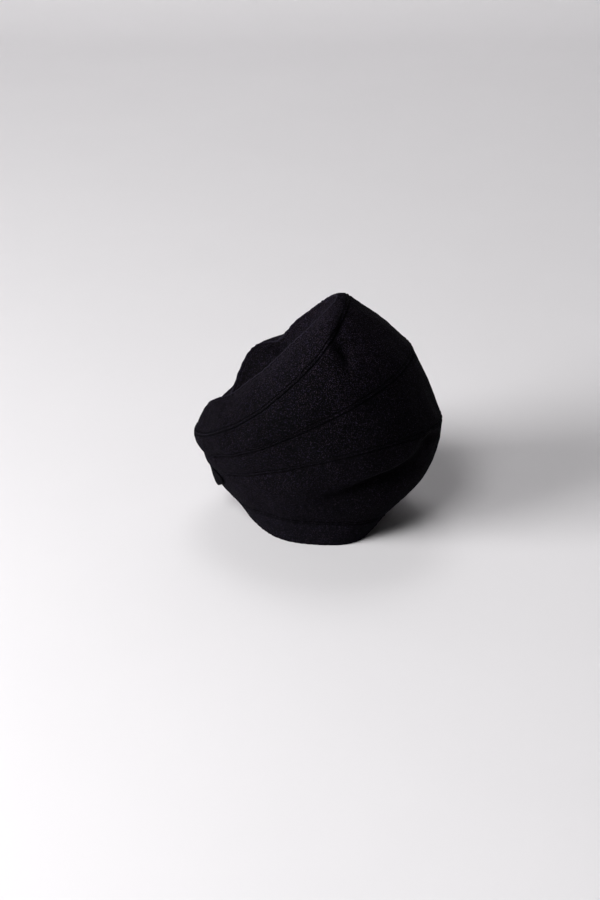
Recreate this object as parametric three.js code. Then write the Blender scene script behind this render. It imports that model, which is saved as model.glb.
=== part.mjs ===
// A soft cap of fulled wool cloth, sewn from strips that wrap round it on a slant, in millimetres with +Z up.
// It stands on its rim. Left is -X, front is -Y, right is +X and back is +Y.
import * as THREE from "three";

// Driving dimensions
const CLOTH = 2.5; // thickness of the fulled wool
const BAND_CLOTH = 3; // the band is folded double
const SEAM_GAP = 0.3; // clear gap between two panels at their seam
const WELT_WIDTH = 4; // the raised lapped edge above each seam
const WELT_HEIGHT = 0.9;
const WELT_SLOPE = 0.8; // width of each of its two slopes
const COLUMNS = 64; // faces round the cap
const WOOL_BLACK = 0x18161b;
const BAND_BLACK = 0x1d1b20;

// Each seam is a closed loop round the cap, given where it crosses the left, front, right and back.
// The loops lie close together on the left, and fan out to the right.
const SEAMS = [
  { name: "rim", left: [-73, 10, 0], front: [6, -84.5, 0], right: [83, 2, 0], back: [4, 103, 0] },
  { name: "band", left: [-93, 14, 22], front: [13, -89, 27], right: [93, 5, 22], back: [4, 105, 26] },
  { name: "panel", left: [-114, 5, 56.5], front: [38, -125, 121.5], right: [132.5, 14, 118], back: [-6, 128, 113] },
  { name: "strip_1", left: [-120.5, 5, 76], front: [4.5, -118, 153], right: [103.5, 15, 188], back: [-8, 125, 137] },
  { name: "strip_2", left: [-131, 5, 98], front: [-37.5, -95, 174.5], right: [35, 8, 243], back: [-30, 105, 166] },
  { name: "ridge", left: [-115, 6, 118], front: [-52, -37, 185], right: [22, 6, 249], back: [-56, 62, 170] },
];

// Each panel lies between one seam and the next. Its bulge is how far it stands out half-way up.
const PANELS = [
  { name: "hem_band", rows: 3, innerRows: 2, bulge: { left: 0, front: 0, right: 0, back: 0 } },
  { name: "lower_panel", rows: 12, innerRows: 9, bulge: { left: 3, front: 8, right: 11, back: 14.5 } },
  { name: "wrap_strip_1", rows: 3, innerRows: 2, bulge: { left: 4, front: 2, right: 1, back: 4 } },
  { name: "wrap_strip_2", rows: 6, innerRows: 4, bulge: { left: 4, front: 7, right: 3.5, back: 4.5 } },
  { name: "wrap_strip_3", rows: 5, innerRows: 3, bulge: { left: 0, front: 5, right: 2.5, back: 4 } },
];
const CROWN = { name: "crown_panel", rows: 8, innerRows: 5, middle: [-48, 14, 186], depth: 18 };

// Dents and folds. Level counts seams from the rim, so 1.5 is half-way up the lower panel and 6 is the crown's middle.
// Angle goes from the right (0) by the back (90). Slant is the rise in level for each degree.
const FOLDS = [
  { name: "left puff", angle: 196, wide: 28, level: 4.9, tall: 0.45, slant: 0, out: 3, up: 8.5 },
  { name: "far bulge", angle: 106, wide: 16.5, level: 5, tall: 0.5, slant: 0, out: 0, up: 16.5 },
  { name: "far dip", angle: 135, wide: 25, level: 5.1, tall: 0.8, slant: 0, out: 0, up: -21 },
  { name: "far saddle", angle: 75.5, wide: 10.5, level: 5, tall: 1.2, slant: 0, out: 0, up: -8.2 },
  { name: "peak dimple", angle: 314, wide: 9, level: 3.8, tall: 0.17, slant: 0.01, out: -3.5, up: 0 },
  { name: "panel fold", angle: 286, wide: 26, level: 1.54, tall: 0.16, slant: 0.005, out: -8, up: 0 },
  { name: "left panel fold", angle: 235, wide: 14, level: 1.35, tall: 0.15, slant: 0, out: -2, up: 0 },
  { name: "left rim corner", angle: 234, wide: 20, level: 0, tall: 1.2, slant: 0, out: 2.5, up: 0 },
  { name: "right rim corner", angle: 293, wide: 14, level: 0, tall: 1.2, slant: 0, out: 2.5, up: 0 },
  { name: "right rim flat", angle: 334, wide: 27, level: 0, tall: 0.85, slant: 0, out: -13, up: 0 },
];

// The folded tab hangs from the left end of the panel seam, on the lower panel.
const TAB = {
  name: "side_tab",
  fromAngle: 180,
  toAngle: 196,
  topLevel: 1.975,
  endLevel: 1.5,
  cloth: 2,
  flare: 1.6,
  columns: 6,
  rows: 6,
};

const FULL_TURN = 2 * Math.PI;
const RIM_LEVEL = 0;
const RIDGE_LEVEL = SEAMS.length - 1;
const MIDDLE_LEVEL = SEAMS.length;
const ANGLE_STEP = 0.004; // radians, for slopes
const LEVEL_STEP = 0.004;
const PUSH_REACH = 0.15; // levels, over which the direction that a fold pushes in is evened out

const radians = THREE.MathUtils.degToRad;
const vector = ([x, y, z]) => new THREE.Vector3(x, y, z);

// A number given at the four stations, carried round the cap as a smooth closed wave.
function roundWave({ left, front, right, back }, angle) {
  const mean = (left + front + right + back) / 4;
  const sideways = ((right - left) / 2) * Math.cos(angle);
  const lengthways = ((back - front) / 2) * Math.sin(angle);
  const oval = ((left + right - front - back) / 4) * Math.cos(2 * angle);
  return mean + sideways + lengthways + oval;
}

function seamPoint(seam, angle) {
  const axis = (i) =>
    roundWave({ left: seam.left[i], front: seam.front[i], right: seam.right[i], back: seam.back[i] }, angle);
  return new THREE.Vector3(axis(0), axis(1), axis(2));
}

function seamDirection(seam, angle) {
  return seamPoint(seam, angle + ANGLE_STEP).sub(seamPoint(seam, angle - ANGLE_STEP)).normalize();
}

// A point of a panel before its folds: straight from seam to seam, and pushed out by the bulge.
function stripPoint(index, share, angle) {
  const below = seamPoint(SEAMS[index], angle);
  const above = seamPoint(SEAMS[index + 1], angle);
  const along = seamDirection(SEAMS[index], angle).add(seamDirection(SEAMS[index + 1], angle));
  const outward = along.cross(above.clone().sub(below)).normalize();
  const bulge = roundWave(PANELS[index].bulge, angle) * 4 * share * (1 - share);
  return below.lerp(above, share).addScaledVector(outward, bulge);
}

// The crown sinks like a bowl inside the ridge.
const ridgeEnds = [seamPoint(SEAMS[RIDGE_LEVEL], 0), seamPoint(SEAMS[RIDGE_LEVEL], Math.PI)];
const crownAxis = ridgeEnds[0].clone().sub(ridgeEnds[1]).cross(new THREE.Vector3(0, 1, 0)).normalize();

function crownPoint(share, angle) {
  const dent = CROWN.depth * (1 - (1 - share) ** 2);
  return seamPoint(SEAMS[RIDGE_LEVEL], angle).lerp(vector(CROWN.middle), share).addScaledVector(crownAxis, -dent);
}

function smoothPoint(level, angle) {
  if (level >= RIDGE_LEVEL) return crownPoint(level - RIDGE_LEVEL, angle);
  const index = Math.floor(level);
  return stripPoint(index, level - index, angle);
}

// The outward direction of a surface. Where two panels meet, it is half-way between theirs.
function outwardOf(surface, level, angle) {
  const here = surface(level, angle);
  const around = surface(level, angle + ANGLE_STEP).sub(surface(level, angle - ANGLE_STEP));
  const rise = new THREE.Vector3();
  if (level + LEVEL_STEP <= MIDDLE_LEVEL) rise.add(surface(level + LEVEL_STEP, angle).sub(here).normalize());
  if (level - LEVEL_STEP >= RIM_LEVEL) rise.add(here.clone().sub(surface(level - LEVEL_STEP, angle)).normalize());
  return around.cross(rise).normalize();
}

// The direction that a fold pushes in. It turns gradually where two panels meet.
function pushDirection(level, angle) {
  const around = smoothPoint(level, angle + ANGLE_STEP).sub(smoothPoint(level, angle - ANGLE_STEP));
  const upper = smoothPoint(Math.min(level + PUSH_REACH, MIDDLE_LEVEL), angle);
  const lower = smoothPoint(Math.max(level - PUSH_REACH, RIM_LEVEL), angle);
  return around.cross(upper.sub(lower)).normalize();
}

function foldAt(fold, level, angle) {
  const turn = THREE.MathUtils.euclideanModulo(angle - radians(fold.angle) + Math.PI, FULL_TURN) - Math.PI;
  const degrees = THREE.MathUtils.radToDeg(turn);
  const rise = level - fold.level - fold.slant * degrees;
  return Math.exp(-((degrees / fold.wide) ** 2) - (rise / fold.tall) ** 2);
}

// A point of the finished surface. The folds fade out at the crown's middle, and leave the rim on the ground.
function capPoint(level, angle) {
  const crownShare = Math.max(level - RIDGE_LEVEL, 0);
  const fade = 1 - crownShare ** 2;
  const outward = pushDirection(Math.min(level, MIDDLE_LEVEL - LEVEL_STEP), angle);
  outward.z *= Math.min(level, 1);
  const point = smoothPoint(level, angle);
  for (const fold of FOLDS) {
    const amount = fade * foldAt(fold, level, angle);
    point.addScaledVector(outward, fold.out * amount);
    point.z += fold.up * amount;
  }
  return point;
}

// A value for each column round the cap.
function closedRow(valueAt) {
  return Array.from({ length: COLUMNS }, (_, column) => valueAt((FULL_TURN * column) / COLUMNS, column));
}

// Joins two grids of points, each a list of rows, into one closed sheet of cloth.
// A sheet that goes all the way round has no sides, and one with tips ends in a point instead of a top edge.
function clothSheet(outer, inner, { wraps = true, tips = null } = {}) {
  const corners = [];
  const faces = [];
  const number = (rows) => rows.map((row) => row.map((point) => corners.push(point) - 1));
  const outerRows = number(outer);
  const innerRows = number(inner);
  const quad = (a, b, c, d) => faces.push(a, b, c, a, c, d);
  const spans = wraps ? outer[0].length : outer[0].length - 1;
  const next = (column) => (column + 1) % outer[0].length;
  const skin = (rows, flip) => {
    for (let row = 0; row + 1 < rows.length; row += 1) {
      for (let column = 0; column < spans; column += 1) {
        const lower = [rows[row][column], rows[row][next(column)]];
        const upper = [rows[row + 1][column], rows[row + 1][next(column)]];
        if (flip) quad(lower[1], lower[0], upper[0], upper[1]);
        else quad(lower[0], lower[1], upper[1], upper[0]);
      }
    }
  };
  skin(outerRows, false);
  skin(innerRows, true);
  const [outerTop, innerTop] = [outerRows.at(-1), innerRows.at(-1)];
  const tipNumbers = tips ? tips.map((point) => corners.push(point) - 1) : null;
  for (let column = 0; column < spans; column += 1) {
    const after = next(column);
    quad(innerRows[0][column], innerRows[0][after], outerRows[0][after], outerRows[0][column]);
    if (tipNumbers) {
      faces.push(outerTop[column], outerTop[after], tipNumbers[0]);
      faces.push(innerTop[after], innerTop[column], tipNumbers[1]);
    } else {
      quad(outerTop[column], outerTop[after], innerTop[after], innerTop[column]);
    }
  }
  if (!wraps) {
    for (let row = 0; row + 1 < outer.length; row += 1) {
      quad(innerRows[row][0], outerRows[row][0], outerRows[row + 1][0], innerRows[row + 1][0]);
      quad(outerRows[row][spans], innerRows[row][spans], innerRows[row + 1][spans], outerRows[row + 1][spans]);
    }
  }
  const geometry = new THREE.BufferGeometry();
  geometry.setAttribute("position", new THREE.Float32BufferAttribute(corners.flatMap((p) => p.toArray()), 3));
  geometry.setIndex(faces);
  geometry.computeVertexNormals();
  return geometry;
}

// How far up the outer face each row of a panel starts, in millimetres, over its raised lower edge.
const weltRows = [
  { height: SEAM_GAP / 2, raised: WELT_HEIGHT / 2 },
  { height: WELT_SLOPE, raised: WELT_HEIGHT },
  { height: WELT_WIDTH - WELT_SLOPE, raised: WELT_HEIGHT },
  { height: WELT_WIDTH, raised: 0 },
];
const plainRows = [{ height: SEAM_GAP / 2, raised: 0 }];

// A panel's outer and inner skins. Edge rows lean the same way as the neighbour's, so the seam stays clear.
function panelSheet(index, panel, { cloth, hasWelt, isCrown }) {
  const tallness = (angle) => {
    let total = 0;
    let last = capPoint(index, angle);
    for (let part = 1; part <= panel.rows; part += 1) {
      const point = capPoint(index + part / panel.rows, angle);
      total += point.distanceTo(last);
      last = point;
    }
    return total;
  };
  const height = closedRow(tallness);
  const edge = [index, index + 1].map((level) =>
    closedRow((angle) => outwardOf(capPoint, Math.min(level, MIDDLE_LEVEL - LEVEL_STEP), angle)),
  );
  if (index === RIM_LEVEL) edge[0].forEach((outward) => outward.setZ(0).normalize());
  const firstTrim = index === RIM_LEVEL ? 0 : SEAM_GAP / 2;
  const start = hasWelt ? weltRows : plainRows;
  const rowOf = (shareAt, raised, depth, edgeIndex) =>
    closedRow((angle, column) => {
      const level = index + shareAt(height[column]);
      const outward = edgeIndex === null ? outwardOf(capPoint, level, angle) : edge[edgeIndex][column];
      return capPoint(level, angle).addScaledVector(outward, raised - depth);
    });
  const topShare = (tall) => (isCrown ? (panel.rows - 1) / panel.rows : 1 - SEAM_GAP / 2 / tall);
  const skinRows = (first, rows, depth) => {
    const made = first.map(({ height: up, raised }, place) =>
      rowOf((tall) => (place === 0 ? firstTrim : up) / tall, raised, depth, place === 0 ? 0 : null),
    );
    for (let row = 1; row <= rows; row += 1) {
      const from = first.at(-1).height;
      const shareAt = (tall) => from / tall + (topShare(tall) - from / tall) * (row / rows);
      made.push(rowOf(shareAt, 0, depth, row === rows && !isCrown ? 1 : null));
    }
    return made;
  };
  const outer = skinRows(start, panel.rows, 0);
  const inner = skinRows(plainRows, panel.innerRows, cloth);
  const middle = capPoint(MIDDLE_LEVEL, 0);
  const tips = isCrown ? [middle, middle.clone().addScaledVector(crownAxis, -cloth)] : null;
  return clothSheet(outer, inner, { tips });
}

// The tab's rows run up from its free end. It lies on the panel, and stands off a little at that end.
function tabSheet() {
  const grid = (lift) =>
    Array.from({ length: TAB.rows + 1 }, (_, row) => {
      const share = row / TAB.rows;
      const level = TAB.endLevel + (TAB.topLevel - TAB.endLevel) * share;
      return Array.from({ length: TAB.columns + 1 }, (_, column) => {
        const degrees = TAB.fromAngle + ((TAB.toAngle - TAB.fromAngle) * column) / TAB.columns;
        const angle = radians(degrees);
        const standOff = SEAM_GAP + TAB.flare * (1 - share) ** 2;
        return capPoint(level, angle).addScaledVector(outwardOf(capPoint, level, angle), standOff + lift);
      });
    });
  return clothSheet(grid(TAB.cloth), grid(0), { wraps: false });
}

function clothMaterial(color) {
  return new THREE.MeshStandardMaterial({ color, roughness: 0.95, metalness: 0 });
}

const cap = new THREE.Group();

function addPiece(name, geometry, color) {
  const piece = new THREE.Mesh(geometry, clothMaterial(color));
  piece.name = name;
  cap.add(piece);
}

PANELS.forEach((panel, index) => {
  const isBand = index === RIM_LEVEL;
  const options = { cloth: isBand ? BAND_CLOTH : CLOTH, hasWelt: !isBand, isCrown: false };
  addPiece(panel.name, panelSheet(index, panel, options), isBand ? BAND_BLACK : WOOL_BLACK);
});
addPiece(CROWN.name, panelSheet(RIDGE_LEVEL, CROWN, { cloth: CLOTH, hasWelt: true, isCrown: true }), WOOL_BLACK);
addPiece(TAB.name, tabSheet(), WOOL_BLACK);

// The middle of the cap's box stands over the origin.
const middle = new THREE.Box3().setFromObject(cap).getCenter(new THREE.Vector3());
cap.position.set(-middle.x, -middle.y, 0);

export default cap;
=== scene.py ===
"""A soft black cap of fulled wool cloth, sewn from strips that wrap round it on a slant.

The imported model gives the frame. Each panel is built again as a sewn sheet of cloth with its lapped
seam, its stitch groove and its soft lumps, and stands for the plain solid of the same name.
Sizes in the tables are millimetres, with left -X, front -Y, right +X and back +Y.
"""

import logging
import math
from dataclasses import dataclass
from enum import Enum

import bpy
import numpy as np
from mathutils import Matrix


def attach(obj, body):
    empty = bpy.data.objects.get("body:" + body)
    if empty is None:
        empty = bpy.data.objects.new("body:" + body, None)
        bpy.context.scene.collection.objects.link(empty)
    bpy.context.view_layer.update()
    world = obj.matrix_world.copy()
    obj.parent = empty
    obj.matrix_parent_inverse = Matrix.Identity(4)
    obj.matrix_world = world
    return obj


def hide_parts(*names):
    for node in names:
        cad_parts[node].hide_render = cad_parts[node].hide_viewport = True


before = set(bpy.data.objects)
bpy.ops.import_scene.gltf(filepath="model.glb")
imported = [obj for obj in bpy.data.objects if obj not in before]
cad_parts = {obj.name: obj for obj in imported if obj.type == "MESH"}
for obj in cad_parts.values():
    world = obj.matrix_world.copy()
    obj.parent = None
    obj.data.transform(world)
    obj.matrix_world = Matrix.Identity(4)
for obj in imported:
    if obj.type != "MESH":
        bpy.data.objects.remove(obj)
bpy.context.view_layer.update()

LOG = logging.getLogger("wool_cap")
MM = 0.001  # metres in a millimetre
FULL_TURN = 2 * math.pi
TABLE_TO_FRAME = (-1.8962, -3.4554, 0.0)  # mm, from the tables' origin to the middle of the cap's box
BODY = "root"

HEX_TOP = 255
SRGB_KNEE = 0.04045  # up to here the sRGB curve is a straight line
SRGB_SLOPE = 12.92
SRGB_OFFSET = 0.055
SRGB_POWER = 2.4

SHORTEST = 1e-9  # a vector shorter than this isn't made longer
FINE_LAYERS = 1.0  # how many finer layers a noise has
SOFT_LAYERS = 2.0
LAYER_STRENGTH = 0.6  # each finer layer's strength, as a share of the one before

Array = np.ndarray
Tree = bpy.types.NodeTree
Socket = bpy.types.NodeSocket
Vec = tuple[float, float, float]
Span = tuple[float, float]


def linear(shade: str) -> tuple[float, float, float, float]:
    """Turns an sRGB hex shade into the linear colour that a shader takes.

    Args:
        shade: A colour such as "#1a181d".

    Returns:
        Red, green, blue and alpha, from 0 to 1.
    """
    parts = [int(shade[place : place + 2], 16) / HEX_TOP for place in (1, 3, 5)]
    straight = [part / SRGB_SLOPE for part in parts]
    curved = [((part + SRGB_OFFSET) / (1 + SRGB_OFFSET)) ** SRGB_POWER for part in parts]
    red, green, blue = (s if part <= SRGB_KNEE else c for part, s, c in zip(parts, straight, curved))
    return (red, green, blue, 1.0)


def add_node(tree: Tree, kind: str, inputs: dict | None = None, **settings: object) -> bpy.types.Node:
    """Adds a node with its settings and links.

    Args:
        tree: The material's node tree.
        kind: Blender's name for the kind of node.
        inputs: For each input, by name or place, its value or the output that feeds it.
        **settings: The node's own settings.

    Returns:
        The new node.
    """
    node = tree.nodes.new(kind)
    for name, value in settings.items():
        setattr(node, name, value)
    for name, value in (inputs or {}).items():
        if isinstance(value, Socket):
            tree.links.new(value, node.inputs[name])
        else:
            node.inputs[name].default_value = value
    return node


def add_object(name: str, data: bpy.types.ID) -> bpy.types.Object:
    """Adds an object to the scene."""
    made = bpy.data.objects.new(name, data)
    bpy.context.scene.collection.objects.link(made)
    return made


def add_mesh(name: str, points: list, faces: list, finish: bpy.types.Material) -> bpy.types.Object:
    """Adds a smooth mesh to the scene.

    Args:
        name: Its name.
        points: Its points, in metres.
        faces: Lists of point numbers.
        finish: Its material.

    Returns:
        The new object.
    """
    mesh = bpy.data.meshes.new(name)
    mesh.from_pydata(points, [], faces)
    mesh.shade_smooth()
    mesh.materials.append(finish)
    return add_object(name, mesh)


def smooth_step(low: float, high: float, value: Array) -> Array:
    """Rises smoothly from 0 at the low value to 1 at the high one."""
    share = np.clip((value - low) / (high - low), 0, 1)
    return share * share * (3 - 2 * share)


def hill(value: Array, wide: float) -> Array:
    """A round hill, 1 at 0 and a third at one width away."""
    return np.exp(-((value / wide) ** 2))


def unit(vectors: Array) -> Array:
    """Makes each vector one long."""
    return vectors / np.maximum(np.linalg.norm(vectors, axis=-1, keepdims=True), SHORTEST)


def turn_from(bearing: float, angle: Array) -> Array:
    """The shortest turn in radians from a bearing in degrees to each angle in radians."""
    return np.mod(angle - math.radians(bearing) + math.pi, FULL_TURN) - math.pi


def wave_basis(angle: Array) -> Array:
    """What each term of a closed wave is multiplied by at angles."""
    return np.stack([np.ones_like(angle), np.cos(angle), np.sin(angle), np.cos(2 * angle)], axis=-1)


@dataclass(frozen=True)
class SeamLoop:
    """A closed seam round the cap, given where it crosses the cap's four sides, in millimetres."""

    name: str
    left: Vec
    front: Vec
    right: Vec
    back: Vec


@dataclass(frozen=True)
class Fold:
    """A dent, bulge or fold.

    Its level counts seams from the rim. Its angle and width are degrees, counted from the right by
    the back. Slant is the rise in level for each degree. Out and up are millimetres of cloth moved.
    """

    name: str
    angle: float
    wide: float
    level: float
    tall: float
    slant: float
    out: float
    up: float

    def share(self, level: Array, angle: Array) -> Array:
        """Works out how strong the fold is at places on the cap.

        Args:
            level: Seams from the rim.
            angle: Radians round the cap.

        Returns:
            A strength for each place, which is 1 in the fold's middle.
        """
        turn = np.degrees(turn_from(self.angle, angle))
        rise = level - self.level - self.slant * turn
        return hill(turn, self.wide) * hill(rise, self.tall)


SEAMS = (
    SeamLoop("rim", (-73, 10, 0), (6, -84.5, 0), (83, 2, 0), (4, 103, 0)),
    SeamLoop("band", (-93, 14, 22), (13, -89, 27), (93, 5, 22), (4, 105, 26)),
    SeamLoop("panel", (-114, 5, 56.5), (38, -125, 121.5), (132.5, 14, 118), (-6, 128, 113)),
    SeamLoop("strip_1", (-120.5, 5, 76), (4.5, -118, 153), (103.5, 15, 188), (-8, 125, 137)),
    SeamLoop("strip_2", (-131, 5, 98), (-37.5, -95, 174.5), (35, 8, 243), (-30, 105, 166)),
    SeamLoop("ridge", (-115, 6, 118), (-52, -37, 185), (22, 6, 249), (-56, 62, 170)),
)

# How far each panel stands out half-way up, at its left, front, right and back.
BULGES = ((0, 0, 0, 0), (3, 8, 11, 14.5), (4, 2, 1, 4), (4, 7, 3.5, 4.5), (0, 5, 2.5, 4))

MAIN_FOLDS = (
    Fold("left puff", 196, 28, 4.9, 0.45, 0, 3, 8.5),
    Fold("far bulge", 106, 16.5, 5, 0.5, 0, 0, 16.5),
    Fold("far dip", 135, 25, 5.1, 0.8, 0, 0, -21),
    Fold("far saddle", 75.5, 10.5, 5, 1.2, 0, 0, -8.2),
    Fold("peak dimple", 314, 9, 3.8, 0.17, 0.01, -3.5, 0),
    Fold("panel fold", 286, 26, 1.54, 0.16, 0.005, -8, 0),
    Fold("left panel fold", 235, 14, 1.35, 0.15, 0, -2, 0),
    Fold("left rim corner", 234, 20, 0, 1.2, 0, 2.5, 0),
    Fold("right rim corner", 293, 14, 0, 1.2, 0, 2.5, 0),
    Fold("right rim flat", 334, 27, 0, 0.85, 0, -13, 0),
)

# Smaller creases, which only the dressed cloth has.
CREASES = (
    Fold("panel crease", 291, 22, 1.57, 0.11, 0.0045, -9, 0),
    Fold("corner hollow", 311, 11, 1.78, 0.13, 0.011, -4.5, 0),
    Fold("corner crease", 322, 14, 1.93, 0.06, 0, -4, 0),
    Fold("peak crease", 312, 5, 3.8, 0.12, 0.031, -5, 0),
    Fold("peak hollow", 315, 9, 3.78, 0.13, 0.02, -2, 0),
    Fold("peak pinch", 326, 7, 4.03, 0.1, 0, -4, 0),
    Fold("strip crease", 276, 5, 3.45, 0.05, -0.07, -1, 0),
    Fold("strip dent", 305, 6, 3.6, 0.09, 0.02, -1.2, 0),
    Fold("left shoulder", 218, 17, 4.95, 0.4, 0, 0, 4),
)


@dataclass
class CapForm:
    """The smooth form that the panels are sewn to.

    Level counts seams from the rim, and 6 is the crown's middle. Angles are radians round the cap,
    from the right by the back. Points are in millimetres.
    """

    crown_middle: Vec = (-48, 14, 186)
    crown_depth: float = 18  # mm, how far the crown sinks below its ridge
    angle_step: float = 0.004  # radians, for slopes
    level_step: float = 0.004  # levels, for slopes
    push_reach: float = 0.15  # levels, over which a fold's direction is evened out
    folds: tuple[Fold, ...] = MAIN_FOLDS + CREASES
    creases: tuple[Fold, ...] = CREASES
    deep: float = 9.0  # mm, how far in a crease goes where its painted shade is whole

    def __post_init__(self) -> None:
        """Works out each seam's wave and the crown's axis."""
        stations = np.array([(seam.left, seam.front, seam.right, seam.back) for seam in SEAMS], float)
        self.seam_waves = self.wave_terms(stations)
        self.bulge_waves = self.wave_terms(np.array(BULGES, float)[..., None])
        self.ridge = len(SEAMS) - 1
        self.middle = len(SEAMS)
        ends = self.seam(self.ridge, np.array([0, math.pi]))
        self.crown_axis = unit(np.cross(ends[0] - ends[1], (0, 1, 0)))

    @staticmethod
    def wave_terms(stations: Array) -> Array:
        """Turns values at the left, front, right and back into the terms of a smooth closed wave.

        Args:
            stations: Rows of four stations, each with one or more numbers.

        Returns:
            For each row, the mean, cosine, sine and double cosine terms.
        """
        left, front, right, back = (stations[:, place] for place in range(4))
        mean = (left + front + right + back) / 4
        oval = (left + right - front - back) / 4
        return np.stack([mean, (right - left) / 2, (back - front) / 2, oval], axis=1)

    def seam(self, index: Array | int, angle: Array) -> Array:
        """Points of seams at angles."""
        return np.einsum("...k,...kj->...j", wave_basis(angle), self.seam_waves[index])

    def seam_direction(self, index: Array, angle: Array) -> Array:
        """The way that seams run at angles."""
        basis = np.stack([0 * angle, -np.sin(angle), np.cos(angle), -2 * np.sin(2 * angle)], axis=-1)
        return unit(np.einsum("...k,...kj->...j", basis, self.seam_waves[index]))

    def strip(self, index: Array, share: Array, angle: Array) -> Array:
        """Points of the wrapped strips before their folds.

        Args:
            index: The seam below each point.
            share: How far each point is from that seam to the next, from 0 to 1.
            angle: Radians round the cap.

        Returns:
            The points.
        """
        below, above = self.seam(index, angle), self.seam(index + 1, angle)
        along = self.seam_direction(index, angle) + self.seam_direction(index + 1, angle)
        outward = unit(np.cross(along, above - below))
        bulge = np.einsum("...k,...k->...", wave_basis(angle), self.bulge_waves[index][..., 0])
        lift = bulge * 4 * share * (1 - share)  # an arch, highest half-way up
        return below + (above - below) * share[..., None] + outward * lift[..., None]

    def crown(self, share: Array, angle: Array) -> Array:
        """Points of the crown, which sinks like a bowl inside the ridge.

        Args:
            share: How far each point is from the ridge to the crown's middle, from 0 to 1.
            angle: Radians round the cap.

        Returns:
            The points.
        """
        edge = self.seam(self.ridge, angle)
        dent = self.crown_depth * (1 - (1 - share) ** 2)
        flat = edge + (np.array(self.crown_middle) - edge) * share[..., None]
        return flat - self.crown_axis * dent[..., None]

    def smooth(self, level: Array, angle: Array) -> Array:
        """Points of the whole form before its folds.

        Args:
            level: Seams from the rim.
            angle: Radians round the cap.

        Returns:
            The points.
        """
        level, angle = np.broadcast_arrays(level, angle)
        index = np.clip(np.floor(level).astype(int), 0, self.ridge - 1)
        share = np.clip(level - index, 0, 1)
        crown_share = np.clip(level - self.ridge, 0, 1)
        in_crown = (level >= self.ridge)[..., None]
        return np.where(in_crown, self.crown(crown_share, angle), self.strip(index, share, angle))

    def push(self, level: Array, angle: Array) -> Array:
        """The direction that a fold pushes in. It turns gradually where two panels meet.

        Args:
            level: Seams from the rim.
            angle: Radians round the cap.

        Returns:
            A direction for each place, one long.
        """
        step = self.angle_step
        around = self.smooth(level, angle + step) - self.smooth(level, angle - step)
        upper = self.smooth(np.minimum(level + self.push_reach, self.middle), angle)
        lower = self.smooth(np.maximum(level - self.push_reach, 0), angle)
        return unit(np.cross(around, upper - lower))

    def point(self, level: Array, angle: Array) -> Array:
        """Points of the finished form, with its folds, which leave the rim on the ground.

        Args:
            level: Seams from the rim.
            angle: Radians round the cap.

        Returns:
            The points.
        """
        level, angle = np.broadcast_arrays(level, angle)
        fade = 1 - np.maximum(level - self.ridge, 0) ** 2
        outward = self.push(np.minimum(level, self.middle - self.level_step), angle)
        outward[..., 2] *= np.minimum(level, 1)
        points = self.smooth(level, angle)
        for fold in self.folds:
            amount = fade * fold.share(level, angle)
            points = points + outward * (fold.out * amount)[..., None]
            points[..., 2] += fold.up * amount
        return points

    def painted_crease_shade(self, level: Array, angle: Array) -> Array:
        """How strong the painted shade is in the creases that go inwards, from 0 to 1."""
        depth = sum(max(0, -fold.out) * fold.share(level, angle) for fold in self.creases)
        return np.minimum(depth / self.deep, 1)

    def outward(self, level: Array, angle: Array) -> Array:
        """The outward direction of the finished form. At a seam it is half-way between the two panels'.

        Args:
            level: Seams from the rim.
            angle: Radians round the cap.

        Returns:
            A direction for each place, one long.
        """
        level, angle = np.broadcast_arrays(level, angle)
        here = self.point(level, angle)
        step = self.angle_step
        around = self.point(level, angle + step) - self.point(level, angle - step)
        upper = unit(self.point(np.minimum(level + self.level_step, self.middle), angle) - here)
        lower = unit(here - self.point(np.maximum(level - self.level_step, 0), angle))
        return unit(np.cross(around, upper + lower))


@dataclass(frozen=True)
class Unevenness:
    """Smooth lumps in cloth, made of many waves that run in different directions.

    Waves are from shortest to longest millimetres, and height is the usual size of a lump.
    """

    shortest: float
    longest: float
    height: float
    seed: int
    waves: int = 40

    def at(self, points: Array) -> Array:
        """Works out the lumps' height at points in space.

        Args:
            points: The points, in millimetres.

        Returns:
            A height for each point.
        """
        draw = np.random.default_rng(self.seed)
        ways = unit(draw.normal(size=(self.waves, 3)))
        lengths = draw.uniform(self.shortest, self.longest, self.waves)
        starts = draw.uniform(0, FULL_TURN, self.waves)
        total = np.zeros(points.shape[:-1])
        for way, length, start in zip(ways, lengths, starts):
            total += np.cos(points @ way * (FULL_TURN / length) + start)
        return total * self.height * math.sqrt(2 / self.waves)


LUMPS = Unevenness(7, 15, 0.10, seed=11)
SOFT_WAVES = Unevenness(34, 80, 0.55, seed=23)


@dataclass(frozen=True)
class Pucker:
    """Cloth drawn up in small waves along a line of stitches, which die out beside it."""

    height: float = 0.2  # mm
    shortest: int = 48  # waves in a whole turn
    longest: int = 92
    reach: float = 6.5  # mm
    waves: int = 14
    seed: int = 100  # each seam adds its place to it

    def at(self, seam: int, angle: Array, distance: Array) -> Array:
        """Works out the puckers' height beside a seam.

        Args:
            seam: The seam's place, which also picks its waves.
            angle: Radians round the cap.
            distance: Millimetres from the stitches.

        Returns:
            A height for each point.
        """
        draw = np.random.default_rng(self.seed + seam)
        counts = draw.integers(self.shortest, self.longest, self.waves)
        starts = draw.uniform(0, FULL_TURN, self.waves)
        total = np.zeros_like(angle)
        for count, start in zip(counts, starts):
            total += np.cos(angle * count + start)
        return total * self.height * math.sqrt(2 / self.waves) * hill(distance, self.reach)

    def pull(self, seam: int, angle: Array) -> Array:
        """How hard the stitches pull along a seam, from 0 to 1.

        Args:
            seam: The seam's place, which also picks its waves.
            angle: Radians round the cap.

        Returns:
            A strength for each angle.
        """
        height = self.at(seam, angle, np.zeros_like(angle)) / self.height
        return (1 - np.tanh(height)) / 2


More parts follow.
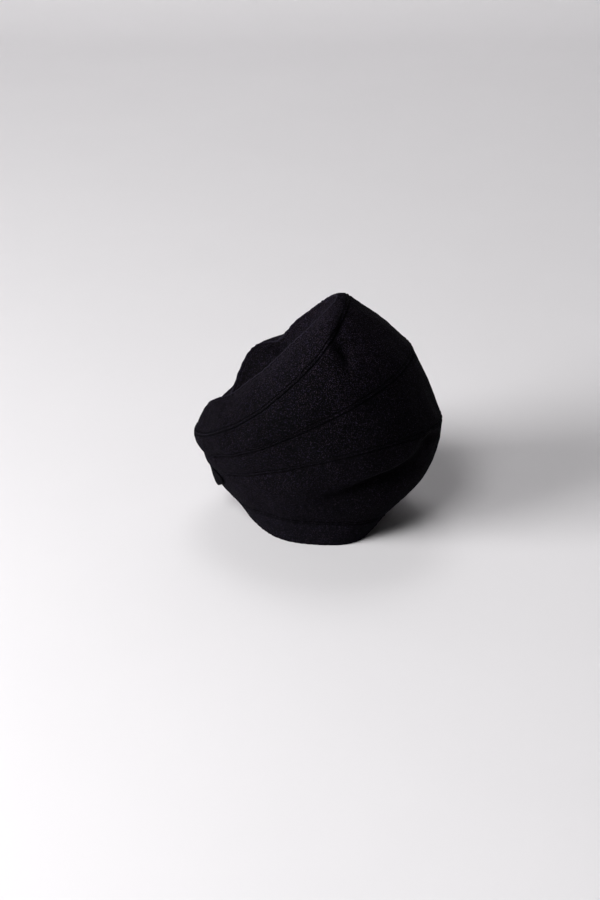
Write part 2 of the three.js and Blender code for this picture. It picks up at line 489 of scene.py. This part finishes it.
def noise(tree: Tree, place: Socket, grain: float, layers: float) -> Socket:
    """Adds a soft noise.

    Args:
        tree: The material's node tree.
        place: Where each point of the surface lies.
        grain: The size of its spots, in millimetres.
        layers: How many finer layers it has.

    Returns:
        The noise's value.
    """
    inputs = {"Vector": place, "Scale": 1 / (grain * MM), "Detail": layers, "Roughness": LAYER_STRENGTH}
    return add_node(tree, "ShaderNodeTexNoise", inputs).outputs[0]


def spread(tree: Tree, value: Socket, found: Span, wanted: Span = (0.0, 1.0)) -> Socket:
    """Spreads a part of a value's span over another span, and keeps what is past it at the ends.

    Args:
        tree: The material's node tree.
        value: The value to spread.
        found: The part of its span, low and high.
        wanted: What low and high become.

    Returns:
        The spread value.
    """
    limits = {"From Min": found[0], "From Max": found[1], "To Min": wanted[0], "To Max": wanted[1]}
    return add_node(tree, "ShaderNodeMapRange", {"Value": value, **limits}).outputs[0]


def compute(tree: Tree, operation: str, *values: object) -> Socket:
    """Adds an operation on numbers, such as a product."""
    return add_node(tree, "ShaderNodeMath", dict(enumerate(values)), operation=operation).outputs[0]


def mix(tree: Tree, factor: Socket, first: object, second: object) -> Socket:
    """Adds a mix of two colours, all of the second where the factor is 1."""
    inputs = {"Factor": factor, "A": first, "B": second}
    return add_node(tree, "ShaderNodeMix", inputs, data_type="RGBA").outputs[2]


def start_material(name: str) -> tuple[bpy.types.Material, Tree, Socket]:
    """Makes a material with its coordinates and nothing else.

    Args:
        name: The material's name.

    Returns:
        The material, its node tree, and where each point of the surface lies.
    """
    made = bpy.data.materials.new(name)
    made.use_nodes = True
    made.node_tree.nodes.clear()
    place = add_node(made.node_tree, "ShaderNodeTexCoord").outputs["Object"]
    return made, made.node_tree, place


def add_surface(tree: Tree, looks: dict) -> None:
    """Adds the shader with its looks, and the output that shows it."""
    shader = add_node(tree, "ShaderNodeBsdfPrincipled", looks)
    add_node(tree, "ShaderNodeOutputMaterial", {"Surface": shader.outputs[0]})


@dataclass(frozen=True)
class FulledWool:
    """Black wool cloth, fulled in hot water until its weave closes and a short curly nap stands up.

    To the eye it is nearly black and quite matt, with a strong pepper of paler fibre ends and a violet
    bloom where light grazes the nap. Pressed nap and painted shade make dark lines along the seams,
    painted shade darkens the creases, rubbed nap and a painted highlight make a paler edge at the
    ridge, and painted light makes the cloth paler towards the top.
    """

    name: str = "fulled_wool"
    shade: str = "#020202"
    fibre_shade: str = "#282333"
    warm_shade: str = "#2e262e"
    # the paler colour of rubbed nap and painted highlight
    rubbed_and_highlight_shade: str = "#2a2730"
    bloom_shade: str = "#b0a4da"
    fibre: float = 1.15  # mm, a tuft, since one fibre is 0.03 mm wide and too fine to show
    fleck: float = 0.6  # mm, the finer curls between the tufts
    fleck_share: float = 0.6  # how strong the finer curls are beside the tufts
    pepper: Span = (0.86, 1.02)  # heights of the curls where paler fibre ends begin and are whole
    hue_spot: float = 4.0  # mm, wool of slightly different dye lots, mixed in the yarn
    hues: Span = (0.35, 0.65)
    cloud: float = 26.0  # mm, slow changes of shade from the dyeing
    clouds: Span = (0.3, 0.7)
    cloud_depth: Span = (0.6, 1.0)
    painted_light_heights: Span = (0.150, 0.240)  # metres above the rim, over which painted light takes the cloth from darker below to paler at the top
    painted_light_strengths: Span = (0.8, 2.1)
    roughness: float = 0.95
    bloom: float = 0.0055
    bloom_roughness: float = 0.75
    relief: float = 0.8  # mm, height of the nap's curls
    specular: float = 0.02

    def material(self) -> bpy.types.Material:
        """Builds the cloth's material.

        Returns:
            The material.
        """
        made, tree, place = start_material(self.name)
        tufts = noise(tree, place, self.fibre, SOFT_LAYERS)
        flecks = noise(tree, place, self.fleck, FINE_LAYERS)
        hues = noise(tree, place, self.hue_spot, SOFT_LAYERS)
        clouds = noise(tree, place, self.cloud, SOFT_LAYERS)
        curls = compute(tree, "MULTIPLY_ADD", flecks, self.fleck_share, tufts)
        pepper = spread(tree, curls, self.pepper)
        depth = spread(tree, clouds, self.clouds, self.cloud_depth)
        # painted light: the pepper is darker low down and paler towards the top, as if lit more from
        # above
        height = add_node(tree, "ShaderNodeSeparateXYZ", {0: place}).outputs[2]
        painted_top_light = spread(tree, height, self.painted_light_heights, self.painted_light_strengths)
        depth = compute(tree, "MULTIPLY", depth, painted_top_light)
        # pressed nap and painted shade: darkens the pepper along the seams, in the creases and on the
        # tab
        pressed_and_shade = add_node(tree, "ShaderNodeAttribute", attribute_name="pressed_and_shade").outputs["Fac"]
        raised = compute(tree, "SUBTRACT", 1.0, pressed_and_shade)
        shown = compute(tree, "MULTIPLY", compute(tree, "MULTIPLY", pepper, depth), raised)
        dye = spread(tree, hues, self.hues)
        ends = mix(tree, dye, linear(self.fibre_shade), linear(self.warm_shade))
        cloth = mix(tree, shown, linear(self.shade), ends)
        # rubbed nap and painted highlight: paler at the ridge and on the laps where the seams run
        # together
        rubbed_and_highlight = add_node(tree, "ShaderNodeAttribute", attribute_name="rubbed_and_highlight").outputs["Fac"]
        bump = {"Distance": self.relief * MM, "Height": curls}
        looks = {
            "Base Color": mix(tree, rubbed_and_highlight, cloth, linear(self.rubbed_and_highlight_shade)),
            "Roughness": self.roughness,
            "Specular IOR Level": self.specular,
            "Sheen Weight": self.bloom,
            "Sheen Roughness": self.bloom_roughness,
            "Sheen Tint": linear(self.bloom_shade),
            "Normal": add_node(tree, "ShaderNodeBump", bump).outputs[0],
        }
        add_surface(tree, looks)
        return made


@dataclass(frozen=True)
class MottledFinish:
    """A finish of two close shades in soft spots."""

    name: str
    shade: str
    second_shade: str
    grain: float  # mm, the size of the spots
    layers: float
    roughness: float
    specular: float

    def material(self) -> bpy.types.Material:
        """Builds the finish's material.

        Returns:
            The material.
        """
        made, tree, place = start_material(self.name)
        spots = noise(tree, place, self.grain, self.layers)
        colour = mix(tree, spots, linear(self.shade), linear(self.second_shade))
        looks = {"Base Color": colour, "Roughness": self.roughness, "Specular IOR Level": self.specular}
        add_surface(tree, looks)
        return made


@dataclass(frozen=True)
class SewingThread(MottledFinish):
    """Black spun polyester thread of two twisted plies.

    To the eye it is a fine black line in its groove, slightly glossier than the wool round it.
    """

    name: str = "sewing_thread"
    shade: str = "#020203"
    second_shade: str = "#0a090c"
    grain: float = 0.5  # mm, from one twist of the thread to the next
    layers: float = FINE_LAYERS
    roughness: float = 0.7
    specular: float = 0.06


@dataclass(frozen=True)
class StudioPaint(MottledFinish):
    """Matt white emulsion, rolled on to a smooth studio floor.

    To the eye it is one even pale tone, with only a faint unevenness from the roller.
    """

    name: str = "studio_paint"
    shade: str = "#dfdddf"
    second_shade: str = "#dcdadc"
    grain: float = 220.0  # mm, the width of a roller's stroke
    layers: float = SOFT_LAYERS
    roughness: float = 0.85
    specular: float = 0.2


class Edge(Enum):
    """How an edge of a panel is finished."""

    FOLDED = "folded round, at the rim"
    PINCHED = "pinched up into a thin ridge and stitched just below it"
    LAPPED = "folded under, lapped over the panel below and stitched down"
    TUCKED = "tucked under the next panel"
    CLOSED = "closed at the crown's middle"


def make_piece(
    name: str, points: Array, faces: list, finish: bpy.types.Material, wear_and_painted_light: dict[str, Array]
) -> bpy.types.Object:
    """Makes a smooth mesh piece that rides on the cap.

    Args:
        name: The piece's name.
        points: Its points in the tables' millimetres.
        faces: Lists of point numbers.
        finish: Its material.
        wear_and_painted_light: How far the nap is rubbed off, with painted highlight, or pressed down,
            with painted shade, at each point, from 0 to 1.

    Returns:
        The new object.
    """
    placed = (points + np.array(TABLE_TO_FRAME)) * MM
    piece = add_mesh(name, placed.tolist(), faces, finish)
    for kind, values in wear_and_painted_light.items():
        attribute = piece.data.attributes.new(kind, "FLOAT", "POINT")
        attribute.data.foreach_set("value", values.astype(np.float32).ravel())
    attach(piece, BODY)
    return piece


# Heights in millimetres of the cloth's rows above a seam, and then of those below the next one.
LAP_ROWS = (0, 0.25, 0.6, 1.1, 1.8, 2.6, 3.1, 3.45, 3.75, 4.0, 4.25, 4.6, 5.1, 5.8, 6.8, 8.0)
TUCK_ROWS = (5.0, 3.6, 2.6, 1.9, 1.3, 0.8, 0.4, 0)


@dataclass
class ClothPanel:
    """A sheet of fulled wool sewn round the cap between one seam and the next.

    Sizes and heights are millimetres, and up and down count from the lower and the upper seam.
    """

    name: str
    index: int
    form: CapForm
    finish: bpy.types.Material
    slot: str = "fulled_wool"
    cloth: float = 2.5
    lower_edge: Edge = Edge.LAPPED
    upper_edge: Edge = Edge.TUCKED
    columns: int = 448
    row_step: float = 1.7
    least_rows: int = 2  # between the rows at the two seams
    inner_rows: int = 14
    tall_rows: int = 25  # rows that measure how tall it is
    below_seam: float = 0.99999  # the share of its height that they reach
    level_gap: float = 1e-6  # in levels, keeps the top row below the upper seam
    squeeze_from: float = 18.0  # a panel less tall than this has closer rows at its seams
    seam_gap: float = 0.1
    edge_turn: float = 4.0  # over which the cloth turns from the seam's direction to its own
    lap_width: float = 3.9  # from the seam to the stitches
    lap_height: float = 0.35
    lap_round: float = 1.3
    lap_sink: float = 1.2  # how deep the folded edge sinks
    lap_fade: float = 0.9  # over which the lap comes down at its stitches
    groove: float = 0.8
    groove_wide: float = 0.75
    puff: float = 0.3  # the cloth's swell beside the stitches
    puff_away: float = 1.9
    puff_wide: float = 1.5
    puff_start: Span = (4.0, 5.4)
    tuck_dip: float = 1.0
    tuck_wide: float = 1.1
    tuck_puff: float = 0.5  # the swell above a tuck, as a share of the puff
    tuck_puff_away: float = 3.2
    tuck_puff_wide: float = 1.6
    ridge_height: float = 1.3
    ridge_wide: float = 1.5
    ridge_groove: float = 0.5  # the groove at the ridge, as a share of the others
    rim_inset: float = 0.1
    rim_calm: float = 4.0  # over which the cloth's unevenness begins at the rim
    allowance: float = 1.2  # how thick the turned-up cloth behind a seam is
    allowance_start: Span = (0.3, 1.2)
    allowance_end: Span = (6.2, 7.4)
    stitch_height: float = 3.75  # the row of the outer face that the stitches lie on
    crease_shade: float = 0.8  # how dark the painted shade in a crease is
    fold_press_and_shade: float = 0.8  # how dark the pressed nap and painted shade at a folded edge are at least
    stitch_press_and_shade: float = 0.5  # how dark the pressed nap and painted shade at the stitches are at least
    press_and_shade_wide: float = 1.0  # how wide both are
    # how wide the painted shade and pressed nap under the lap of the panel above are
    tuck_press_and_shade_wide: float = 1.4
    # painted highlight with rubbed nap along the ridge: how strong and how wide
    ridge_rub_and_highlight: float = 0.6
    rub_and_highlight_wide: float = 1.0
    gather_angle: float = 205.0  # degrees, where the seams run together, drawn tight, with rubbed nap and a painted highlight on the laps
    gather_wide: float = 25.0  # degrees
    gather_groove: float = 0.9  # how much deeper the grooves are there
    # painted highlight with rubbed nap on the laps where the seams run together: how strong and how wide
    gather_rub_and_highlight: float = 0.13
    gather_rub_and_highlight_wide: float = 0.9
    pucker: Pucker = Pucker()
    skin: tuple[Array, Array] | None = None  # the built outer face and its outward directions

    def stitch_line(self) -> tuple[Array, Array]:
        """The points and outward directions of the row that is stitched, once the panel is built."""
        row = LAP_ROWS.index(self.stitch_height)
        return self.skin[0][row], self.skin[1][row]

    def angles(self) -> Array:
        """The columns' angles round the cap."""
        return np.arange(self.columns) * (FULL_TURN / self.columns)

    def gathered(self) -> Array:
        """How near each column is to where the seams run together, from 0 to 1."""
        return hill(turn_from(self.gather_angle, self.angles()), math.radians(self.gather_wide))

    def tallness(self) -> Array:
        """How tall the panel is at each column, measured up its surface."""
        shares = np.linspace(0, 1, self.tall_rows)[:, None]
        rows = self.form.point(self.index + shares * self.below_seam, self.angles()[None, :])
        return np.linalg.norm(np.diff(rows, axis=0), axis=-1).sum(0)

    def row_heights(self, tall: Array) -> Array:
        """Where each row of the outer face lies, close together at the seams.

        Args:
            tall: How tall the panel is at each column.

        Returns:
            Rows of heights from the lower seam, a number for each column.
        """
        squeeze = np.minimum(1, tall / self.squeeze_from)[None, :]
        lower = np.array(LAP_ROWS)[:, None] * squeeze + self.seam_gap / 2
        upper = tall - self.seam_gap / 2 - np.array(TUCK_ROWS)[:, None] * squeeze
        room = float(tall.max() - (LAP_ROWS[-1] + TUCK_ROWS[0]))
        count = max(self.least_rows, round(room / self.row_step))
        between = np.linspace(0, 1, count + 1)[1:-1][:, None]
        middle = lower[-1] + (upper[0] - lower[-1]) * between
        return np.concatenate([lower, middle, upper])

    def relief(self, up: Array, down: Array) -> Array:
        """How far the outer face stands off the form, for its lap, stitch groove and tuck.

        Args:
            up: From the lower seam.
            down: From the upper seam.

        Returns:
            A height for each point.
        """
        raised = np.zeros_like(up)
        if self.lower_edge is Edge.LAPPED:
            turn = np.clip(up / self.lap_round, 0, 1)
            fold = np.sqrt(1 - (1 - turn) ** 2) * (self.lap_height + self.lap_sink) - self.lap_sink
            raised += fold * (1 - smooth_step(self.lap_width - self.lap_fade, self.lap_width, up))
            swell = hill(up - self.lap_width - self.puff_away, self.puff_wide)
            raised += self.puff * swell * smooth_step(*self.puff_start, up)
            groove = self.groove * (1 + self.gather_groove * self.gathered())
            raised -= groove * hill(up - self.lap_width, self.groove_wide)
        if self.lower_edge is Edge.PINCHED:
            raised += self.ridge_height * hill(up, self.ridge_wide)
            raised -= self.groove * self.ridge_groove * hill(up - self.lap_width, self.groove_wide)
        if self.lower_edge is Edge.FOLDED:
            raised += self.rim_rounding(up)
        if self.upper_edge is Edge.TUCKED:
            raised -= self.tuck_dip * hill(down, self.tuck_wide)
            raised += self.puff * self.tuck_puff * hill(down - self.tuck_puff_away, self.tuck_puff_wide)
        if self.upper_edge is Edge.PINCHED:
            raised += self.ridge_height * hill(down, self.ridge_wide)
        return raised

    def rim_rounding(self, up: Array) -> Array:
        """How far the half-round fold at the rim is off the outer face."""
        radius = self.cloth / 2 - self.rim_inset
        above = np.clip(radius - up, 0, radius)
        return np.sqrt(radius**2 - above**2) - radius

    def lining_relief(self, up: Array) -> Array:
        """How far the inner face lies inside the form, for the cloth and the allowance behind it.

        Args:
            up: From the lower seam.

        Returns:
            A depth for each point.
        """
        depth = np.full_like(up, self.cloth)
        if self.lower_edge is Edge.LAPPED:
            begun = smooth_step(*self.allowance_start, up)
            depth += self.allowance * begun * (1 - smooth_step(*self.allowance_end, up))
        if self.lower_edge is Edge.FOLDED:
            depth += self.rim_rounding(up)
        return depth

    def lumps(self, points: Array, angle: Array, up: Array, down: Array) -> Array:
        """The cloth's unevenness, and its puckers beside the stitches.

        Args:
            points: Points of the form.
            angle: Radians round the cap.
            up: From the lower seam.
            down: From the upper seam.

        Returns:
            A height for each point.
        """
        total = LUMPS.at(points) + SOFT_WAVES.at(points)
        total += self.pucker.at(self.index, angle, up)
        if self.upper_edge is not Edge.CLOSED:
            total += self.pucker.at(self.index + 1, angle, down)
        return total

    def face(self, heights: Array, tall: Array, inside: bool) -> tuple[Array, Array]:
        """Builds the outer or the inner face.

        Args:
            heights: Rows of heights from the lower seam.
            tall: How tall the panel is at each column.
            inside: Whether it is the inner face.

        Returns:
            The face's points, and the outward direction at each.
        """
        angle = np.broadcast_to(self.angles()[None, :], heights.shape)
        top = self.index + 1 - self.level_gap
        if self.upper_edge is Edge.CLOSED:
            top = self.form.middle - self.form.level_step
        level = np.minimum(self.index + heights / tall, top)
        points = self.form.point(level, angle)
        around = np.roll(points, -1, axis=1) - np.roll(points, 1, axis=1)
        own = unit(np.cross(around, np.gradient(points, axis=0)))
        lower = self.form.outward(np.full(self.columns, float(self.index)), self.angles())[None]
        if self.lower_edge is Edge.FOLDED:
            lower = unit(lower * (1, 1, 0))
        up, down = heights, tall - heights
        share = smooth_step(0, self.edge_turn, up)[..., None]
        outward = unit(lower * (1 - share) + own * share)
        if self.upper_edge is not Edge.CLOSED:
            seam = np.full(self.columns, float(self.index + 1))
            upper = self.form.outward(seam, self.angles())[None]
            share = smooth_step(0, self.edge_turn, down)[..., None]
            outward = unit(upper * (1 - share) + outward * share)
        off = -self.lining_relief(up) if inside else self.relief(up, down)
        uneven = self.lumps(points, angle, up, down)
        if self.lower_edge is Edge.FOLDED:
            uneven *= smooth_step(-self.rim_calm, self.rim_calm, up)
        return points + outward * (off + uneven)[..., None], outward

    def wear_and_painted_light(self, up: Array, down: Array) -> dict[str, Array]:
        """Paler rubbed nap with painted highlight, and darker pressed nap with painted shade.

        The nap is rubbed, with a painted highlight, at the ridge and on the laps where the seams run
        together.
        It is pressed, with painted shade, along seams and stitches, and there is painted shade in
        creases.

        Args:
            up: From the lower seam.
            down: From the upper seam.

        Returns:
            For each kind of wear, a strength for each point, from 0 to 1.
        """
        rubbed_and_highlight = np.zeros_like(up)
        pressed_and_shade = np.zeros_like(up)
        # painted highlight with rubbed nap along the ridge, on both panels beside it
        if self.lower_edge is Edge.PINCHED:
            rubbed_and_highlight += self.ridge_rub_and_highlight * hill(up, self.rub_and_highlight_wide)
        if self.upper_edge is Edge.PINCHED:
            rubbed_and_highlight += self.ridge_rub_and_highlight * hill(down, self.rub_and_highlight_wide)
        if self.lower_edge is Edge.LAPPED:
            if self.index > 1:
                # painted highlight with rubbed nap on the laps where the seams run together
                lap = hill(up - self.lap_width / 2, self.gather_rub_and_highlight_wide)
                rubbed_and_highlight += self.gather_rub_and_highlight * self.gathered() * lap
            pull = np.maximum(self.pucker.pull(self.index, self.angles()), self.gathered())
            # pressed nap and painted shade along the folded edge and along the stitches
            for away, least in ((up, self.fold_press_and_shade), (up - self.lap_width, self.stitch_press_and_shade)):
                pressed_and_shade += hill(away, self.press_and_shade_wide) * (least + (1 - least) * pull)
        if self.upper_edge is Edge.TUCKED:
            # painted shade and pressed nap where the panel goes under the lap of the one above
            pressed_and_shade += hill(down, self.tuck_press_and_shade_wide)
        level = self.index + up / (up + down)
        # painted shade in the creases that go inwards
        pressed_and_shade += self.crease_shade * self.form.painted_crease_shade(level, self.angles()[None, :])
        return {"rubbed_and_highlight": rubbed_and_highlight, "pressed_and_shade": np.minimum(pressed_and_shade, 1)}

    def build(self) -> bpy.types.Object:
        """Builds the panel as one closed sheet.

        Returns:
            The piece, which stands for the solid of the same name.
        """
        tall = self.tallness()
        outer_heights = self.row_heights(tall)
        picks = np.linspace(0, len(outer_heights) - 1, self.inner_rows).round().astype(int)
        low_rows = np.arange(0, len(LAP_ROWS), 2)  # every other row, where the allowance rises
        picks = np.unique(np.concatenate([low_rows, picks[picks > low_rows[-1]]]))
        inner_heights = outer_heights[picks]
        outer, outward = self.face(outer_heights, tall, inside=False)
        inner, _ = self.face(inner_heights, tall, inside=True)
        columns = self.columns
        inner_start = len(outer) * columns
        last_out, last_in = inner_start - columns, inner_start + (len(inner) - 1) * columns
        points = np.concatenate([outer.reshape(-1, 3), inner.reshape(-1, 3)])
        faces = self.face_rows(0, len(outer))
        faces += [corners[::-1] for corners in self.face_rows(inner_start, len(inner))]
        faces += self.join_faces(inner_start, 0)
        wear_and_painted_light = self.wear_and_painted_light(outer_heights, tall - outer_heights)
        if self.upper_edge is Edge.CLOSED:
            tips = self.form.point(np.full(2, float(self.form.middle)), np.zeros(2))
            tips[1] -= self.form.crown_axis * self.cloth
            tips += self.form.crown_axis * (LUMPS.at(tips) + SOFT_WAVES.at(tips))[:, None]
            first_tip = len(points)
            points = np.concatenate([points, tips])
            for column in range(columns):
                after = (column + 1) % columns
                faces.append((last_out + column, last_out + after, first_tip))
                faces.append((last_in + after, last_in + column, first_tip + 1))
        else:
            faces += self.join_faces(last_out, last_in)
        plain = len(points) - inner_start
        wear_and_painted_light = {kind: np.concatenate([values.ravel(), np.zeros(plain)]) for kind, values in wear_and_painted_light.items()}
        piece = make_piece(self.name + "_cloth", points, faces, self.finish, wear_and_painted_light)
        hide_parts(self.name)
        self.skin = (outer, outward)
        return piece

    def join_faces(self, first: int, second: int) -> list:
        """Four-sided faces between two rows that go all the way round, given each row's first point."""
        pairs = [(column, (column + 1) % self.columns) for column in range(self.columns)]
        return [(first + here, first + after, second + after, second + here) for here, after in pairs]

    def face_rows(self, start: int, rows: int) -> list:
        """Four-sided faces between many rows, given the first row's first point."""
        lows = range(start, start + (rows - 1) * self.columns, self.columns)
        return [corners for low in lows for corners in self.join_faces(low, low + self.columns)]


@dataclass
class SeamStitches:
    """Rows of black lockstitches, laid in the grooves above the seams. Sizes are millimetres."""

    panels: list[ClothPanel]
    finish: bpy.types.Material
    name: str = "seam_stitches"
    slot: str = "fulled_wool"
    pitch: float = 3.2  # from one stitch to the next
    length: float = 2.5
    wide: float = 0.5
    high: float = 0.5
    sides: int = 6
    rings: tuple[float, ...] = (-0.42, -0.22, 0.0, 0.22, 0.42)  # along a stitch, in shares of its length

    def along(self, line: tuple[Array, Array]) -> tuple[Array, Array, Array]:
        """Spaces stitches evenly along a closed line.

        Args:
            line: The line's points and the outward direction at each.

        Returns:
            For each stitch, its middle, the way it runs and the outward direction.
        """
        points, outward = (np.concatenate([values, values[:1]]) for values in line)
        steps = np.linalg.norm(np.diff(points, axis=0), axis=-1)
        reached = np.concatenate([[0], np.cumsum(steps)])
        count = round(reached[-1] / self.pitch)
        places = (np.arange(count) + 0.5) * (reached[-1] / count)
        half = self.length / 2

        def pick(values: Array, where: Array) -> Array:
            """Reads a value of the line at distances along it."""
            where = np.mod(where, reached[-1])
            return np.stack([np.interp(where, reached, column) for column in values.T], axis=-1)

        run = unit(pick(points, places + half) - pick(points, places - half))
        return pick(points, places), run, unit(pick(outward, places))

    def build(self) -> bpy.types.Object:
        """Builds every stitch as a closed, rounded bead of thread in one piece.

        Returns:
            The piece.
        """
        sewn = [panel for panel in self.panels if panel.lower_edge is not Edge.FOLDED]
        found = [self.along(panel.stitch_line()) for panel in sewn]
        middle, run, outward = (np.concatenate(parts) for parts in zip(*found))
        side = unit(np.cross(outward, run))
        turn = np.arange(self.sides) * (FULL_TURN / self.sides)
        rows = []
        for share in self.rings:
            girth = math.sqrt(1 - (2 * share) ** 2)
            across = side[:, None] * (np.cos(turn) * girth * self.wide / 2)[None, :, None]
            upward = outward[:, None] * (np.sin(turn) * girth * self.high / 2)[None, :, None]
            rows.append((middle + run * share * self.length)[:, None] + across + upward)
        near, far = (middle + way * run * self.length / 2 for way in (-1, 1))
        points = np.concatenate([near[:, None], *rows, far[:, None]], axis=1)
        each = points.shape[1]
        final = each - 1 - self.sides
        pattern = []
        for place in range(self.sides):
            after = (place + 1) % self.sides
            pattern.append((0, 1 + after, 1 + place))
            pattern.append((final + place, final + after, each - 1))
            for low in range(1, final, self.sides):
                high = low + self.sides
                pattern.append((low + place, low + after, high + after, high + place))
        starts = range(0, len(middle) * each, each)
        faces = [tuple(corner + start for corner in face) for start in starts for face in pattern]
        return make_piece(self.name, points.reshape(-1, 3), faces, self.finish, {})


@dataclass
class SideTab:
    """The folded tab of cloth that hangs below the left end of a seam. Sizes are millimetres."""

    form: CapForm
    finish: bpy.types.Material
    name: str = "side_tab"
    slot: str = "fulled_wool"
    from_angle: float = 180  # degrees round the cap
    to_angle: float = 197
    top_level: float = 1.975  # in seams from the rim
    end_level: float = 1.5
    cloth: float = 2.0
    narrow: float = 0.5  # how wide its ends are, as a share of its middle
    flare: float = 2.0  # how far its free end stands out
    stand_off: float = 0.3
    edge_power: int = 14  # the higher, the sharper its edges turn
    edge_share: float = 0.25  # how thick its edges are, as a share of its middle
    pressed_and_shade: float = 0.85  # how far the whole tab is darkened by painted shade
    rows: int = 26
    columns: int = 36

    def build(self) -> bpy.types.Object:
        """Builds the tab as one closed pad with rounded edges.

        Returns:
            The piece, which stands for the solid of the same name.
        """
        across = np.linspace(0, 1, self.columns + 1)[None, :]
        upward = np.linspace(0, 1, self.rows + 1)[:, None]
        level = self.end_level + (self.top_level - self.end_level) * (upward + 0 * across)
        reach = self.narrow + (1 - self.narrow) * np.sin(math.pi * upward)
        angle = np.radians(self.from_angle + (self.to_angle - self.from_angle) * across * reach)
        ground = self.form.point(level, angle)
        outward = self.form.outward(level, angle)
        lumps = LUMPS.at(ground) + SOFT_WAVES.at(ground)
        aside, below = np.abs(2 * across - 1), np.maximum(1 - 2 * upward, 0)
        edge = np.maximum(aside**self.edge_power, below**self.edge_power)
        plump = np.sqrt(np.clip(1 - edge, 0, 1))
        middle = self.stand_off + self.flare * (1 - upward) ** 2 + self.cloth / 2 + lumps
        half = self.cloth / 2 * (self.edge_share + (1 - self.edge_share) * plump)
        outer = ground + outward * (middle + half)[..., None]
        inner = ground + outward * (middle - half)[..., None]
        points = np.concatenate([outer.reshape(-1, 3), inner.reshape(-1, 3)])
        wide = self.columns + 1
        numbers = np.arange((self.rows + 1) * wide).reshape(-1, wide)
        start = numbers.size
        faces = []
        for low in numbers[:-1, :-1].ravel().tolist():
            corners = (low, low + 1, low + wide + 1, low + wide)
            faces += [corners, tuple(corner + start for corner in corners[::-1])]
        sides = [numbers[0, :-1], numbers[:-1, -1], numbers[-1, :0:-1], numbers[:0:-1, 0]]
        border = np.concatenate(sides).tolist()
        for number, after in zip(border, border[1:] + border[:1]):
            faces.append((number, number + start, after + start, after))
        # painted shade over the whole tab, which lies in shade beside the cap
        wear_and_painted_light = {"pressed_and_shade": np.full(len(points), self.pressed_and_shade)}
        piece = make_piece(self.name + "_cloth", points, faces, self.finish, wear_and_painted_light)
        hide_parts(self.name)
        return piece


@dataclass(frozen=True)
class SoftLight:
    """A square soft light that is aimed at the cap. Sizes are metres, and power is watts."""

    name: str
    place: Vec
    size: float
    power: float
    aim: Vec = (0, 0, 0.1)

    def build(self) -> None:
        """Adds the light to the scene."""
        data = bpy.data.lights.new(self.name, "AREA")
        data.size = self.size
        data.energy = self.power
        light = add_object(self.name, data)
        light.location = self.place
        x, y, z = (to - at for to, at in zip(self.aim, self.place))
        light.rotation_euler = (math.atan2(math.hypot(x, y), -z), 0, math.atan2(y, x) - math.pi / 2)


@dataclass
class Studio:
    """A plain pale floor that sweeps up behind, soft light from the left, and the camera."""

    camera_place: Vec = (-0.01942, -2.24934, 1.04556)
    camera_dip: float = 23.39  # degrees below level
    lens: float = 90.24  # mm, on the usual 36 mm sensor
    floor_wide: float = 6.0  # metres to each side, as are the sizes below
    floor_near: float = -4.0
    floor_far: float = 2.2
    sweep_radius: float = 1.2
    sweep_points: int = 25
    wall_top: float = 5.0
    lights: tuple[SoftLight, ...] = (
        SoftLight("key", (-2.17, -5.11, 5.76), 2.4, 250.0),
        SoftLight("window", (-2.5, -1.3, 1.0), 1.8, 168.0),
        SoftLight("back", (0.0, 2.4, 4.2), 2.0, 42.0, aim=(0, 2, 0)),
    )
    world_shade: str = "#ffffff"
    world_strength: float = 0.015

    def build_camera(self) -> None:
        """Sets the camera where the cap is looked at from, with its depth of field off."""
        data = bpy.data.cameras.new("camera")
        data.lens = self.lens
        data.dof.use_dof = False
        camera = add_object("camera", data)
        camera.location = self.camera_place
        camera.rotation_euler = (math.radians(90 - self.camera_dip), 0, 0)
        bpy.context.scene.camera = camera

    def build_floor(self) -> None:
        """Builds the floor with its sweep, which isn't part of the cap."""
        line = [(self.floor_near, 0.0)]
        for turn in np.linspace(0, math.pi / 2, self.sweep_points):
            away = self.floor_far + self.sweep_radius * math.sin(turn)
            line.append((away, self.sweep_radius * (1 - math.cos(turn))))
        line.append((self.floor_far + self.sweep_radius, self.wall_top))
        points = [(side * self.floor_wide, away, up) for away, up in line for side in (-1, 1)]
        faces = [(2 * row, 2 * row + 1, 2 * row + 3, 2 * row + 2) for row in range(len(line) - 1)]
        floor = add_mesh("studio_floor", points, faces, StudioPaint().material())

    def build_lights(self) -> None:
        """Sets the soft lights and the even light of the room."""
        for light in self.lights:
            light.build()
        world = bpy.data.worlds.new("room")
        world.use_nodes = True
        backing = world.node_tree.nodes["Background"]
        backing.inputs["Color"].default_value = linear(self.world_shade)
        backing.inputs["Strength"].default_value = self.world_strength
        bpy.context.scene.world = world
        bpy.context.scene.view_settings.view_transform = "Standard"


def main() -> None:
    """Builds the studio and the cap's pieces in order."""
    logging.basicConfig(level=logging.INFO, format="%(name)s: %(message)s")
    studio = Studio()
    studio.build_camera()
    studio.build_floor()
    studio.build_lights()
    form = CapForm()
    wool = FulledWool().material()
    thread = SewingThread().material()
    band = FulledWool(name="band_wool", shade="#040405").material()
    pieces = [
        ClothPanel("hem_band", 0, form, band, slot="band_wool", cloth=3.0, lower_edge=Edge.FOLDED),
        ClothPanel("lower_panel", 1, form, wool, inner_rows=22),
        ClothPanel("wrap_strip_1", 2, form, wool),
        ClothPanel("wrap_strip_2", 3, form, wool),
        ClothPanel("wrap_strip_3", 4, form, wool, upper_edge=Edge.PINCHED),
        ClothPanel("crown_panel", 5, form, wool, lower_edge=Edge.PINCHED, upper_edge=Edge.CLOSED),
        SideTab(form, wool),
    ]
    panels = [piece for piece in pieces if isinstance(piece, ClothPanel)]
    pieces.append(SeamStitches(panels, thread))
    for piece in pieces:
        made = piece.build()
        LOG.info("%s: %d points, %d faces", made.name, len(made.data.vertices), len(made.data.polygons))


if __name__ == "__main__":
    main()
